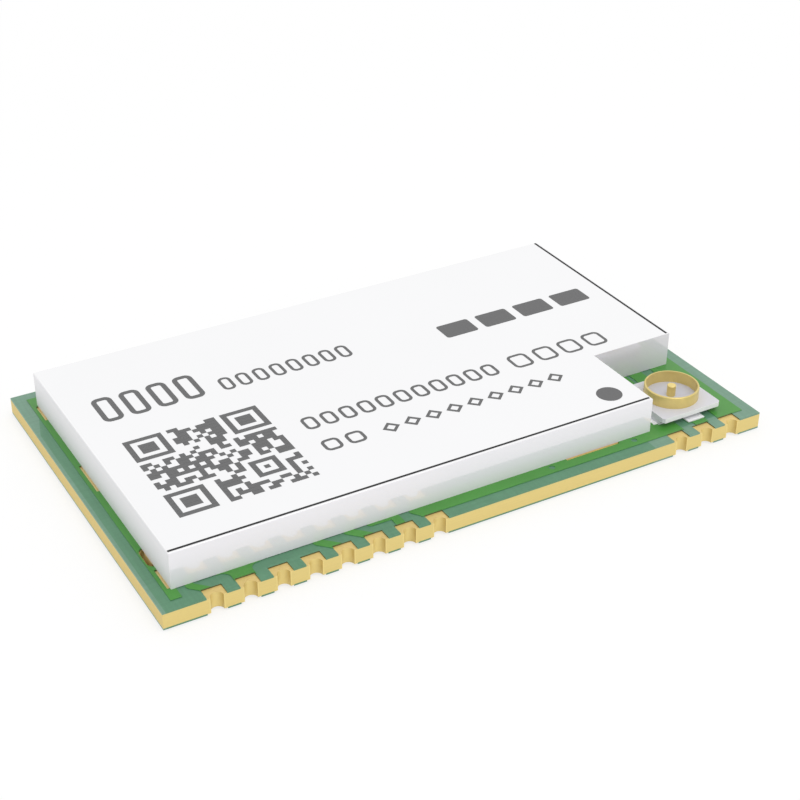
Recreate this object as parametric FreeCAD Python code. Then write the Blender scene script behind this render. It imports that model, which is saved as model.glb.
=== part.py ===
import FreeCAD, Part
import math
import os

# Radio module: a castellated board that carries a formed shield can, the radio parts
# under the can, and a coaxial antenna socket in the can's cut-out corner.
#
# Units are millimetres. +Z is up, and the origin is on the underside, at the middle of
# the board. X runs along the long edges, with the antenna socket at the +X end, and the
# front edge is at -Y. The functions left, right, front and back turn a distance from
# that edge of the board into a place.

# Board
board_length = 26.0
board_width = 16.0
laminate_thickness = 0.59
copper_thickness = 0.02
mask_on_laminate = 0.065
mask_on_copper = 0.07
mask_wrap = 0.03
side_rim = 0.55

# Castellated pads: a long group at the left end and a short group at the antenna end
pad_pitch = 1.27
pad_width = 0.77
pad_depth = 0.52
half_hole_radius = 0.25
hole_plating = 0.035
long_group_count = 8
long_group_from_left = 2.02
short_group_count = 3
short_group_from_right = 1.41
bore_side_count = 12

# Shield can
can_gap_left = 0.77
can_gap_right = 0.9
can_gap_front = 1.03
can_gap_back = 1.1
can_height = 1.52
can_sheet = 0.2
can_top_radius = 0.04
notch_from_right = 4.77
notch_from_front = 4.96

# Soldered stretches of the can's rim
rim_land_lip = 0.1
short_land = 1.2
middle_land = 1.95
wide_land = 2.5
corner_land_gap = 0.1
middle_land_from_corner = 6.83
back_land_from_corner = 3.2
notch_land_gap = 1.55

# Legs of the can and the plated slots that they stand in
leg_length = 0.72
leg_reach = 0.5
leg_tip_chamfer = 0.12
slot_length = 1.15
slot_width = 0.5
leg_from_corner = 2.1

# Antenna socket: insulator
socket_from_right = 2.73
socket_from_front = 2.36
plate_length = 2.86
plate_width = 2.82
plate_thickness = 0.2
plate_lift = 0.19
plate_chamfer = 0.09
pedestal_setback = 0.28

# Antenna socket: outer contact, a ring with two soldered tabs
ring_outer_radius = 1.115
ring_wall = 0.075
ring_height = 0.5
ring_root = 0.12
ring_lip_chamfer = 0.02
contact_sheet = 0.1
tab_width = 2.08
tab_projection = 0.18
tab_inset = 0.08
tab_arm_width = 0.9
tab_land_depth = 0.5

# Antenna socket: centre contact, a pin on a strip with a soldered foot
centre_pin_radius = 0.18
centre_pin_drop = 0.03
centre_pin_chamfer = 0.02
pin_root_side = 0.44
pin_root_cover = 0.05
signal_foot_width = 0.8
signal_foot_shift = 0.13
signal_foot_projection = 0.15
signal_foot_length = 0.75
signal_tail_width = 0.4
foot_clearance = 0.02

# Antenna track: from the can, under the socket, to the middle pad of the short group
line_width = 0.56
line_shift = 0.13
line_gap_left = 0.22
line_gap_right = 0.54
line_mouth_gap = 0.69
line_hidden_end = 6.2

# Signal tracks. A route is a list of (offset from its pad, distance from the front edge).
fine_track = 0.25
data_track = 0.31
supply_track = 0.6
track_reach = 2.2
first_route = [(-0.05, 0.35), (-0.6, 0.9), (-0.6, track_reach)]
fifth_route = [(-0.08, 0.35), (-0.7, 0.97), (-0.7, track_reach)]
sixth_route = [(-0.07, 0.35), (-0.72, 1.0), (-0.72, track_reach)]
seventh_route = [(-0.09, 0.3), (-0.09, 1.07), (-1.04, 1.07), (-1.04, track_reach)]
fan_radius = 0.35
fan_half_width = 0.82
fan_overlap = 0.1

# Ground copper: a foot at the front left corner, a slanted end beside the long pad group
corner_foot_end = 0.92
slant_foot = 0.46
slant_run = 0.25
slant_low = 0.6
slant_high = 0.92
track_gap = 0.3
field_inset = 1.5
bottom_pad_gap = 0.3
tie_width = 0.4

# Two small round openings in the ground copper, in front of the can
dimple_radius = 0.15
dimple_from_front = 0.81
dimples_from_right = [9.6, 5.7]

# Parts under the can
land_margin = 0.12
mask_clearance = 0.06
copper_clearance = 0.15
part_standoff = 0.03
radio_size = 6.0
radio_height = 0.85
radio_leads_per_side_count = 7
radio_lead_pitch = 0.65
radio_lead_width = 0.3
controller_size = 4.0
controller_height = 0.55
controller_leads_per_side_count = 5
controller_lead_pitch = 0.5
controller_lead_width = 0.25
flush_lead_depth = 0.4
paddle_gap = 0.35
mark_radius = 0.16
mark_inset = 0.55
mark_depth = 0.04
oscillator_length = 2.5
oscillator_width = 2.0
oscillator_height = 0.8
oscillator_lid_height = 0.22
oscillator_lid_inset = 0.12
oscillator_land_length = 0.8
oscillator_land_width = 0.6
switch_length = 2.0
switch_width = 1.25
switch_span = 2.1
switch_height = 0.9
switch_lead_width = 0.22
switch_lead_pitch = 0.65
switch_from_notch = 2.7
regulator_length = 2.9
regulator_width = 1.6
regulator_span = 2.8
regulator_height = 0.95
regulator_lead_width = 0.4
regulator_lead_pitch = 0.95
bent_lead_sheet = 0.12
bent_lead_shoulder = 0.18
moulding_lift = 0.08
moulding_chamfer = 0.05
small_length = 1.0
small_width = 0.5
small_height = 0.5
small_end = 0.22
medium_length = 1.6
medium_width = 0.8
medium_height = 0.8
medium_end = 0.32
end_wrap = 0.02
row_gap = 0.15

os.makedirs("parts", exist_ok=True)

# Levels
bottom_copper_low = mask_on_copper
laminate_bottom = bottom_copper_low + copper_thickness
laminate_top = laminate_bottom + laminate_thickness
copper_top = laminate_top + copper_thickness
mask_top = copper_top + mask_on_copper
can_top = mask_top + can_height
below = -1.0
above = can_top + 1.0


def left(distance):
    return distance - board_length / 2


def right(distance):
    return board_length / 2 - distance


def front(distance):
    return distance - board_width / 2


def back(distance):
    return board_width / 2 - distance


def block(x0, y0, z0, x1, y1, z1):
    # box between two opposite corners, in any order
    corner = FreeCAD.Vector(min(x0, x1), min(y0, y1), min(z0, z1))
    return Part.makeBox(abs(x1 - x0), abs(y1 - y0), abs(z1 - z0), corner)


def prism(points, z0, z1):
    ring = [FreeCAD.Vector(x, y, z0) for x, y in points]
    face = Part.Face(Part.makePolygon(ring + [ring[0]]))
    return face.extrude(FreeCAD.Vector(0, 0, z1 - z0))


def rod(x, y, radius, z0, z1):
    return Part.makeCylinder(radius, z1 - z0, FreeCAD.Vector(x, y, z0))


def bore_form(x, y, radius, z0, z1):
    # outside of a hole's plating: a many-sided bar with flats at this radius
    step = 2 * math.pi / bore_side_count
    reach = radius / math.cos(step / 2)
    turns = [i * step for i in range(bore_side_count)]
    points = [(x + reach * math.cos(turn), y + reach * math.sin(turn)) for turn in turns]
    return prism(points, z0, z1)


def oblong(end_form, x, y, width, length, z0, z1):
    # bar along Y with an end form of half its width at each end
    half = (length - width) / 2
    middle = block(x - width / 2, y - half, z0, x + width / 2, y + half, z1)
    ends = [end_form(x, y + side * half, width / 2, z0, z1) for side in (-1, 1)]
    return joined([middle] + ends)


def joined(shapes):
    if len(shapes) == 1:
        return shapes[0]
    return shapes[0].multiFuse(shapes[1:]).removeSplitter()


def top_edges(shape, level):
    return [edge for edge in shape.Edges if edge.BoundBox.ZMin > level - 0.001]


def turned(shape, x, y, quarter_turns):
    shape.rotate(FreeCAD.Vector(0, 0, 0), FreeCAD.Vector(0, 0, 1), 90 * quarter_turns)
    shape.translate(FreeCAD.Vector(x, y, 0))
    return shape


def spread(sizes, start, end):
    # centres of things of these sizes, in a row with equal gaps between start and end
    gap = (end - start - sum(sizes)) / (len(sizes) + 1)
    centres = []
    place = start
    for size in sizes:
        centres.append(place + gap + size / 2)
        place += gap + size
    return centres


def save(shape, name):
    solids = shape.Solids
    body = solids[0] if len(solids) == 1 else Part.makeCompound(solids)
    body.exportStep("parts/" + name + ".step")
    print(name, len(solids), "valid" if body.isValid() else "NOT VALID", round(body.Volume, 4))


# Pads, as (x, side), with side -1 at the front edge and +1 at the back edge. They are
# numbered along the back from the antenna end, and then along the front to that end.
short_group = [right(short_group_from_right + i * pad_pitch) for i in range(short_group_count)]
long_group = [left(long_group_from_left + i * pad_pitch) for i in range(long_group_count)]
edge_row = short_group + long_group[::-1]
pads = [(x, 1) for x in edge_row] + [(x, -1) for x in edge_row[::-1]]


def pad_box(x, side, z0, z1):
    edge = side * board_width / 2
    return block(x - pad_width / 2, edge, z0, x + pad_width / 2, edge - side * pad_depth, z1)


# Shield can outline, with a corner cut out for the antenna socket
can_left = left(can_gap_left)
can_right = right(can_gap_right)
can_front = front(can_gap_front)
can_back = back(can_gap_back)
notch_x = right(notch_from_right)
notch_y = front(notch_from_front)


def can_form(inset, z0, z1):
    points = [
        (can_left + inset, can_front + inset),
        (notch_x - inset, can_front + inset),
        (notch_x - inset, notch_y + inset),
        (can_right - inset, notch_y + inset),
        (can_right - inset, can_back - inset),
        (can_left + inset, can_back - inset),
    ]
    return prism(points, z0, z1)


# Lands under the can's rim, as (x0, y0, x1, y1), each a little proud of the wall
def land_along_x(wall, inward, x0, length):
    outer = wall - inward * rim_land_lip
    return x0, outer, x0 + length, wall + inward * (can_sheet + rim_land_lip)


def land_along_y(wall, inward, y0, length):
    outer = wall - inward * rim_land_lip
    return outer, y0, wall + inward * (can_sheet + rim_land_lip), y0 + length


rim_lands = [
    land_along_y(can_left, 1, can_front + corner_land_gap, short_land),
    land_along_y(can_left, 1, can_front + middle_land_from_corner, middle_land),
    land_along_y(can_left, 1, can_back - corner_land_gap - short_land, short_land),
    land_along_x(can_front, 1, notch_x - notch_land_gap - wide_land, wide_land),
    land_along_x(can_back, -1, can_left + back_land_from_corner, wide_land),
    land_along_x(can_back, -1, can_right - back_land_from_corner - wide_land, wide_land),
    land_along_y(can_right, -1, notch_y + notch_land_gap, middle_land),
]
slot_places = [
    (can_left + can_sheet / 2, can_front + leg_from_corner),
    (can_right - can_sheet / 2, can_back - leg_from_corner),
]


def slot_forms(z0, z1):
    width = slot_width + 2 * hole_plating
    length = slot_length + 2 * hole_plating
    return [oblong(bore_form, x, y, width, length, z0, z1) for x, y in slot_places]


# Antenna socket places
socket_x = right(socket_from_right)
socket_y = front(socket_from_front)
plate_left = socket_x - plate_length / 2
plate_right = socket_x + plate_length / 2
plate_front = socket_y - plate_width / 2
plate_back = socket_y + plate_width / 2
plate_low = mask_top + plate_lift
plate_top = plate_low + plate_thickness
ring_top = plate_top + ring_height
foot_x = socket_x + signal_foot_shift
foot_front = plate_front - signal_foot_projection
foot_back = foot_front + signal_foot_length
foot_top = copper_top + contact_sheet
line_x = edge_row[1] + line_shift


# Parts under the can. Each builder gives a shape round the origin and its copper lands.
def two_ended_part(length, width, height, end):
    # ceramic body between two wrapped metal ends
    base = copper_top
    top = base + height
    body = block(-length / 2 + end_wrap, -width / 2 + end_wrap, base + end_wrap,
                 length / 2 - end_wrap, width / 2 - end_wrap, top - end_wrap)
    ends = []
    lands = []
    for side in (-1, 1):
        outer = side * length / 2
        inner = outer - side * end
        ends.append(block(outer, -width / 2, base, inner, width / 2, top))
        lands.append(block(outer + side * land_margin, -width / 2, laminate_top, inner, width / 2, base))
    return joined([body] + ends), lands


def small_part():
    return two_ended_part(small_length, small_width, small_height, small_end)


def medium_part():
    return two_ended_part(medium_length, medium_width, medium_height, medium_end)


def square_chip(size, height, lead_count, lead_pitch, lead_width):
    # leadless package: moulding on a ground paddle, with flush leads along its four sides
    base = copper_top
    half = size / 2
    seat = base + part_standoff
    paddle = half - flush_lead_depth - paddle_gap
    body = block(-half, -half, seat, half, half, base + height)
    body = body.cut(rod(mark_inset - half, half - mark_inset, mark_radius, base + height - mark_depth, above))
    feet = [block(-paddle, -paddle, base, paddle, paddle, seat)]
    lands = [block(-paddle, -paddle, laminate_top, paddle, paddle, base)]
    for quarter in range(4):
        for i in range(lead_count):
            y = (i - (lead_count - 1) / 2) * lead_pitch
            inner = half - flush_lead_depth
            outer = half + land_margin
            foot = block(inner, y - lead_width / 2, base, half, y + lead_width / 2, seat)
            land = block(inner, y - lead_width / 2, laminate_top, outer, y + lead_width / 2, base)
            feet.append(turned(foot, 0, 0, quarter))
            lands.append(turned(land, 0, 0, quarter))
    return joined([body] + feet), lands


def bent_lead_chip(length, width, height, span, lead_width, lead_places):
    # moulding with bent leads, whose places are given as (x, side)
    base = copper_top
    top = base + height
    body = block(-length / 2, -width / 2, base + moulding_lift, length / 2, width / 2, top)
    pieces = [body.makeChamfer(moulding_chamfer, top_edges(body, top))]
    lands = []
    middle = base + height / 2
    shoulder = width / 2 + bent_lead_shoulder
    heel = shoulder - bent_lead_sheet
    root = width / 2 - moulding_chamfer
    toe = span / 2
    section = [
        (root, middle),
        (shoulder, middle),
        (shoulder, base + bent_lead_sheet),
        (toe, base + bent_lead_sheet),
        (toe, base),
        (heel, base),
        (heel, middle - bent_lead_sheet),
        (root, middle - bent_lead_sheet),
    ]
    for x, side in lead_places:
        points = [FreeCAD.Vector(x - lead_width / 2, side * y, z) for y, z in section]
        face = Part.Face(Part.makePolygon(points + [points[0]]))
        pieces.append(face.extrude(FreeCAD.Vector(lead_width, 0, 0)))
        lands.append(block(x - lead_width / 2, side * heel, laminate_top,
                           x + lead_width / 2, side * (toe + land_margin), base))
    return joined(pieces), lands


def oscillator_can(length, width, height):
    # ceramic tray with a welded metal lid, on four corner lands
    base = copper_top
    seat = base + part_standoff
    top = base + height
    tray_top = top - oscillator_lid_height
    tray = block(-length / 2, -width / 2, seat, length / 2, width / 2, tray_top)
    inset = oscillator_lid_inset
    lid = block(inset - length / 2, inset - width / 2, tray_top, length / 2 - inset, width / 2 - inset, top)
    lid = lid.makeChamfer(moulding_chamfer, top_edges(lid, top))
    feet = []
    lands = []
    for side_x in (-1, 1):
        for side_y in (-1, 1):
            x = side_x * length / 2
            y = side_y * width / 2
            inner_x = x - side_x * oscillator_land_length
            inner_y = y - side_y * oscillator_land_width
            feet.append(block(x, y, base, inner_x, inner_y, seat))
            lands.append(block(x + side_x * land_margin, y + side_y * land_margin, laminate_top,
                               inner_x, inner_y, base))
    return joined([tray, lid] + feet), lands


inner_parts = {}
inner_lands = []
part_windows = []


def place(name, built, x, y, quarter_turns=0):
    shape, lands = built
    inner_parts[name] = turned(shape, x, y, quarter_turns)
    for land in lands:
        turned(land, x, y, quarter_turns)
    inner_lands.extend(lands)
    box = Part.makeCompound(lands + [shape]).BoundBox
    part_windows.append((box.XMin, box.YMin, box.XMax, box.YMax))


def place_row(names, builder, length, x_middle, y):
    # parts side by side along X about the middle
    step = length + 2 * land_margin + row_gap
    for i, name in enumerate(names):
        place(name, builder(), x_middle + (i - (len(names) - 1) / 2) * step, y)


# Layout under the can: columns spread along X, and rows spread along Y in each column
margins = 2 * land_margin
columns = spread(
    [controller_size + margins, radio_size + margins, oscillator_length + margins, switch_span + margins],
    can_left + field_inset, can_right - field_inset)
rows_start = front(track_reach + track_gap)
rows_end = back(track_reach + track_gap)

x = columns[0]
rows = spread([small_width, controller_size + margins, regulator_span + margins], rows_start, rows_end)
place_row(["pull_resistor_1", "pull_resistor_2", "pull_resistor_3"], small_part, small_length, x, rows[0])
place("controller_chip", square_chip(controller_size, controller_height, controller_leads_per_side_count,
                                     controller_lead_pitch, controller_lead_width), x, rows[1])
regulator_leads = [(-regulator_lead_pitch, -1), (0, -1), (regulator_lead_pitch, -1),
                   (-regulator_lead_pitch, 1), (regulator_lead_pitch, 1)]
place("voltage_regulator", bent_lead_chip(regulator_length, regulator_width, regulator_height, regulator_span,
                                          regulator_lead_width, regulator_leads), x, rows[2])

x = columns[1]
rows = spread([small_width, radio_size + margins, medium_width], rows_start, rows_end)
place_row(["bypass_capacitor_1", "bypass_capacitor_2"], small_part, small_length, x, rows[0])
place("radio_chip", square_chip(radio_size, radio_height, radio_leads_per_side_count, radio_lead_pitch,
                                radio_lead_width), x, rows[1])
place_row(["bulk_capacitor_1", "bulk_capacitor_2"], medium_part, medium_length, x, rows[2])

x = columns[2]
rows = spread([small_width] * 4 + [oscillator_width + margins], rows_start, rows_end)
place_row(["filter_capacitor_1", "filter_capacitor_2"], small_part, small_length, x, rows[0])
place_row(["tuning_inductor_1", "tuning_inductor_2"], small_part, small_length, x, rows[1])
place_row(["filter_capacitor_3", "filter_capacitor_4"], small_part, small_length, x, rows[2])
place_row(["tuning_inductor_3", "tuning_inductor_4"], small_part, small_length, x, rows[3])
place("reference_oscillator", oscillator_can(oscillator_length, oscillator_width, oscillator_height),
      x, rows[4])

x = columns[3]
switch_leads = [(i * switch_lead_pitch, side) for i in (-1, 0, 1) for side in (-1, 1)]
place("antenna_switch", bent_lead_chip(switch_length, switch_width, switch_height, switch_span,
                                       switch_lead_width, switch_leads), x, notch_y + switch_from_notch, 1)


# Copper patterns, drawn twice: at their real outline for the copper, and grown
# sideways for the step of the mask that covers them
def track(route, width, grow, z0, z1):
    # one width along the route, round at its bends and square at its ends
    half = width / 2 + grow
    pieces = []
    for (xa, ya), (xb, yb) in zip(route[:-1], route[1:]):
        run = math.hypot(xb - xa, yb - ya)
        ux = (xb - xa) / run
        uy = (yb - ya) / run
        xa -= ux * grow
        ya -= uy * grow
        xb += ux * grow
        yb += uy * grow
        corners = [
            (xa - uy * half, ya + ux * half),
            (xb - uy * half, yb + ux * half),
            (xb + uy * half, yb - ux * half),
            (xa + uy * half, ya - ux * half),
        ]
        pieces.append(prism(corners, z0, z1))
    for x, y in route[1:-1]:
        pieces.append(rod(x, y, half, z0, z1))
    return joined(pieces)


def supply_fan(x, grow, z0, z1):
    # wide track that leaves its pad straight and flares in two arcs towards the can
    radius = fan_radius - grow
    low = front(pad_depth - fan_overlap)
    turn = front(can_gap_front) - fan_radius
    level = turn + radius
    end = front(track_reach) + grow
    half_root = radius * math.sqrt(0.5)

    def point(side, distance, y):
        return FreeCAD.Vector(x + side * distance, y, z0)

    neck = pad_width / 2 + grow
    shoulder = neck + radius
    reach = fan_half_width + grow
    edges = []
    for side in (-1, 1):
        bend = point(side, shoulder - half_root, turn + half_root)
        edges += [
            Part.LineSegment(point(side, neck, low), point(side, neck, turn)),
            Part.Arc(point(side, neck, turn), bend, point(side, shoulder, level)),
            Part.LineSegment(point(side, shoulder, level), point(side, reach, level)),
            Part.LineSegment(point(side, reach, level), point(side, reach, end)),
        ]
    edges.append(Part.LineSegment(point(-1, neck, low), point(1, neck, low)))
    edges.append(Part.LineSegment(point(-1, reach, end), point(1, reach, end)))
    wire = Part.Wire(Part.__sortEdges__([edge.toShape() for edge in edges]))
    return Part.Face(wire).extrude(FreeCAD.Vector(0, 0, z1 - z0))


def front_tracks(grow, z0, z1):
    plans = [(0, fine_track, first_route), (4, data_track, fifth_route), (5, data_track, sixth_route),
             (6, data_track, seventh_route)]
    tracks = [supply_fan(long_group[1], grow, z0, z1)]
    for column, width, offsets in plans:
        route = [(long_group[column] + dx, front(distance)) for dx, distance in offsets]
        tracks.append(track(route, width, grow, z0, z1))
    return tracks


def back_tracks(grow, z0, z1):
    tracks = []
    for column, x in enumerate(long_group[1:-1]):
        width = supply_track if column == 0 else fine_track
        tracks.append(track([(x, back(pad_depth / 2)), (x, back(track_reach))], width, grow, z0, z1))
    return tracks


def antenna_line(grow, z0, z1):
    half = line_width / 2 + grow
    line = block(line_x - half, front(pad_depth) - grow, z0, line_x + half, front(line_hidden_end) + grow, z1)
    half = signal_foot_width / 2 + grow
    land = block(foot_x - half, foot_front - grow, z0, foot_x + half, foot_back + grow, z1)
    return joined([line, land])


def window(x0, y0, x1, y1, grow):
    # opening in the ground copper, which shrinks as the copper grows
    return block(x0 + grow, y0 + grow, below, x1 - grow, y1 - grow, above)


def ground_sheet(grow, z0, z1):
    rim = side_rim - grow
    edge = pad_depth - grow
    sheet = block(left(rim), front(edge), z0, right(rim), back(edge), z1)
    slant_x = long_group[-1] - slant_foot - grow
    slant_top = slant_x - slant_run
    front_window = [
        (left(corner_foot_end) + grow, front(-1)),
        (left(corner_foot_end) + grow, rows_start - grow),
        (slant_top, rows_start - grow),
        (slant_top, front(slant_high) - grow),
        (slant_x, front(slant_low) - grow),
        (slant_x, front(-1)),
    ]
    line_left = line_x - line_width / 2
    line_right = line_x + line_width / 2 + line_gap_right
    windows = [
        prism(front_window, below, above),
        window(long_group[1] - supply_track, rows_end, long_group[-2] + pad_width, back(-1), grow),
        window(can_left + field_inset, rows_start, notch_x - field_inset, rows_end, grow),
        window(notch_x - 2 * field_inset, notch_y + field_inset, can_right - field_inset, rows_end, grow),
        window(line_left - line_gap_left, front(-1), line_right, front(line_hidden_end + track_gap), grow),
        window(line_left - line_mouth_gap, front(-1), line_right, foot_back + line_gap_left, grow),
    ]
    for x0, y0, x1, y1 in part_windows:
        gap = copper_clearance
        windows.append(window(x0 - gap, y0 - gap, x1 + gap, y1 + gap, grow))
    y = front(dimple_from_front)
    for distance in dimples_from_right:
        windows.append(bore_form(right(distance), y, dimple_radius - grow, below, above))
    return sheet.cut(windows)


def top_pattern(grow, z0, z1):
    tracks = front_tracks(grow, z0, z1) + back_tracks(grow, z0, z1)
    return ground_sheet(grow, z0, z1), tracks, antenna_line(grow, z0, z1)


def bottom_pattern(grow, z0, z1):
    rim = pad_depth + bottom_pad_gap
    sheet = block(left(side_rim) - grow, front(rim) - grow, z0, right(side_rim) + grow, back(rim) + grow, z1)
    ties = []
    for x in (edge_row[0], edge_row[2], edge_row[3], edge_row[-1]):
        half = tie_width / 2 + grow
        ties.append(block(x - half, front(pad_depth / 2), z0, x + half, back(pad_depth / 2), z1))
    return joined([sheet] + ties)


# Board laminate with its half-holes and slots
board_form = block(left(0), front(0), below, right(0), back(0), above)
laminate = block(left(0), front(0), laminate_bottom, right(0), back(0), laminate_top)
bore_radius = half_hole_radius + hole_plating
bores = [bore_form(x, side * board_width / 2, bore_radius, below, above) for x, side in pads]
laminate = laminate.cut(bores + slot_forms(below, above))
save(laminate, "board_laminate")

# Castellated pads: a land above and a land below, joined by the plated half-hole
for number, (x, side) in enumerate(pads, start=1):
    edge = side * board_width / 2
    lands = [pad_box(x, side, bottom_copper_low, laminate_bottom), pad_box(x, side, laminate_top, copper_top)]
    barrel = bore_form(x, edge, bore_radius, bottom_copper_low, copper_top)
    pad = joined(lands + [barrel.common(board_form)])
    pad = pad.cut(rod(x, edge, half_hole_radius, below, above))
    save(pad, "edge_pad_%02d" % number)

# Top copper: ground sheet, signal tracks and antenna track, all level with the pad lands
top_pads = [pad_box(x, side, laminate_top, copper_top) for x, side in pads]
slots = slot_forms(below, above)
ground, tracks, line = top_pattern(0, laminate_top, copper_top)
ground = ground.cut(slots)
tracks = Part.makeCompound([solid for one in tracks for solid in one.cut(top_pads).Solids])
line = line.cut(top_pads)
save(ground, "top_ground_copper")
save(tracks, "signal_tracks")
save(line, "antenna_track")
save(Part.makeCompound(inner_lands), "component_lands")

# Bottom copper: one ground sheet, tied to the ground pads
bottom_pads = [pad_box(x, side, bottom_copper_low, laminate_bottom) for x, side in pads]
bottom_copper = bottom_pattern(0, bottom_copper_low, laminate_bottom).cut(slots + bottom_pads)
save(bottom_copper, "bottom_ground_copper")

# Plated slots for the can's legs
platings = slot_forms(bottom_copper_low, copper_top)
for name, plating, (x, y) in zip(("left_slot_plating", "right_slot_plating"), platings, slot_places):
    save(plating.cut(oblong(rod, x, y, slot_width, slot_length, below, above)), name)

# Top solder mask: a coat on the laminate that steps up over the copper, open at every land
openings = [pad_box(x, side, laminate_bottom, above) for x, side in pads] + slots
openings += [block(x0, y0, laminate_bottom, x1, y1, above) for x0, y0, x1, y1 in rim_lands]
for x0, y0, x1, y1 in part_windows:
    gap = mask_clearance
    openings.append(block(x0 - gap, y0 - gap, laminate_bottom, x1 + gap, y1 + gap, above))
half = signal_foot_width / 2 + foot_clearance
openings.append(block(foot_x - half, foot_front - foot_clearance, laminate_bottom,
                      foot_x + half, foot_back + foot_clearance, above))
for side in (-1, 1):
    outer = socket_x + side * (plate_length / 2 + tab_projection)
    openings.append(block(outer, socket_y - tab_width / 2, laminate_bottom,
                          outer - side * tab_land_depth, socket_y + tab_width / 2, above))
coat = block(left(0), front(0), laminate_top, right(0), back(0), laminate_top + mask_on_laminate)
raised_ground, raised_tracks, raised_line = top_pattern(mask_wrap, laminate_top, mask_top)
mask = joined([coat, raised_ground, raised_line] + raised_tracks)
save(mask.cut([ground, tracks, line] + openings), "top_solder_mask")

# Bottom solder mask
openings = [pad_box(x, side, below, laminate_bottom) for x, side in pads] + slots
coat = block(left(0), front(0), laminate_bottom - mask_on_laminate, right(0), back(0), laminate_bottom)
mask = joined([coat, bottom_pattern(mask_wrap, 0, laminate_bottom)])
save(mask.cut([bottom_copper] + openings), "bottom_solder_mask")

# Shield can: one formed sheet, open below, with a rolled top edge, soldered feet and two legs
can = can_form(0, mask_top, can_top)
can = can.makeFillet(can_top_radius, top_edges(can, can_top))
can = can.cut(can_form(can_sheet, below, can_top - can_sheet))
pieces = [can]
wall_bottom = can_form(0, copper_top, mask_top).cut(can_form(can_sheet, below, above))
for x0, y0, x1, y1 in rim_lands:
    pieces.append(block(x0, y0, copper_top, x1, y1, mask_top).common(wall_bottom))
leg_low = laminate_top - leg_reach
for x, y in slot_places:
    half = leg_length / 2
    section = [
        (y - half, mask_top),
        (y + half, mask_top),
        (y + half, leg_low + leg_tip_chamfer),
        (y + half - leg_tip_chamfer, leg_low),
        (y - half + leg_tip_chamfer, leg_low),
        (y - half, leg_low + leg_tip_chamfer),
    ]
    points = [FreeCAD.Vector(x - can_sheet / 2, a, b) for a, b in section]
    face = Part.Face(Part.makePolygon(points + [points[0]]))
    pieces.append(face.extrude(FreeCAD.Vector(can_sheet, 0, 0)))
save(joined(pieces), "shield_can")

# Antenna socket, outer contact: the ring's root is held in the plate, and on each side
# an arm runs outwards from it, drops to the board and ends in a soldered tab
root = plate_top - ring_root
ring = rod(socket_x, socket_y, ring_outer_radius, root, ring_top)
ring = ring.makeChamfer(ring_lip_chamfer, top_edges(ring, ring_top))
pieces = [ring.cut(rod(socket_x, socket_y, ring_outer_radius - ring_wall, below, above))]
for side in (-1, 1):
    arm_start = socket_x + side * (ring_outer_radius - ring_wall / 2)
    drop_outer = socket_x + side * (plate_length / 2 - tab_inset)
    drop_inner = drop_outer - side * contact_sheet
    tab_end = socket_x + side * (plate_length / 2 + tab_projection)
    arm = tab_arm_width / 2
    tab = tab_width / 2
    pieces.append(block(arm_start, socket_y - arm, root, drop_outer, socket_y + arm, root - contact_sheet))
    pieces.append(block(drop_inner, socket_y - arm, root, drop_outer, socket_y + arm, copper_top))
    pieces.append(block(drop_inner, socket_y - tab, copper_top, tab_end, socket_y + tab, foot_top))
outer_contact = joined(pieces)
save(outer_contact, "socket_outer_contact")

# Antenna socket, centre contact: a pin with a square root that the insulator holds, on a
# strip that comes out at the front as a foot
pin_top = ring_top - centre_pin_drop
tail_low = mask_top + foot_clearance / 2
pin = rod(socket_x, socket_y, centre_pin_radius, tail_low, pin_top)
pin = pin.makeChamfer(centre_pin_chamfer, top_edges(pin, pin_top))
half = pin_root_side / 2
pin_root = block(socket_x - half, socket_y - half, tail_low,
                 socket_x + half, socket_y + half, plate_top - pin_root_cover)
foot = block(foot_x - signal_foot_width / 2, foot_front, copper_top,
             foot_x + signal_foot_width / 2, foot_back, foot_top)
tail = block(socket_x - signal_tail_width / 2, foot_back - contact_sheet, tail_low,
             socket_x + signal_tail_width / 2, socket_y, tail_low + contact_sheet)
centre_contact = joined([pin, pin_root, foot, tail])
save(centre_contact, "socket_centre_contact")

# Antenna socket, insulator: a plate with cut corners on a pedestal, moulded round the contacts
plate = block(plate_left, plate_front, plate_low, plate_right, plate_back, plate_top)
plate = plate.makeChamfer(plate_chamfer, [e for e in plate.Edges if e.BoundBox.ZLength > plate_thickness / 2])
pedestal = block(plate_left, plate_front + pedestal_setback, mask_top,
                 plate_right, plate_back - pedestal_setback, plate_low)
insulator = joined([plate, pedestal]).cut([outer_contact, centre_contact])
save(insulator, "socket_insulator")

# Parts under the can
for name, shape in inner_parts.items():
    save(shape, name)
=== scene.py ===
import math
import random

import bmesh
import bpy
from mathutils import Euler, Matrix, Vector


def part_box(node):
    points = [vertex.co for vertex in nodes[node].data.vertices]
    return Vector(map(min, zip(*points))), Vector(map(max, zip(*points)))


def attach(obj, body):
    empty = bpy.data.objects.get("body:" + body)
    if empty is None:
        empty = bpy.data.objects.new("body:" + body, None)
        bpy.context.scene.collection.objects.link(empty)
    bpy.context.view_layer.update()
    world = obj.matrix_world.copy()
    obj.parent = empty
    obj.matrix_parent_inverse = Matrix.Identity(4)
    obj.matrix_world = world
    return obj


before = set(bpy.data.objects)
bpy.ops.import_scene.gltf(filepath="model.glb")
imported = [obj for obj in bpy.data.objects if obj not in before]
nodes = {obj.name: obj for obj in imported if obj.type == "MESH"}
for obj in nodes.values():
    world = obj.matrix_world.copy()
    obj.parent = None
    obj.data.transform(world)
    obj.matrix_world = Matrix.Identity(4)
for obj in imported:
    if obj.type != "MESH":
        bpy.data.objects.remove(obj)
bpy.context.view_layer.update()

# The radio module's looks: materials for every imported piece, the ink on the shield can,
# the floor, the light and the camera. The frame and its boxes are in metres. Lengths inside
# the materials and the places of the print are in millimetres.

MM = 0.001

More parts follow.
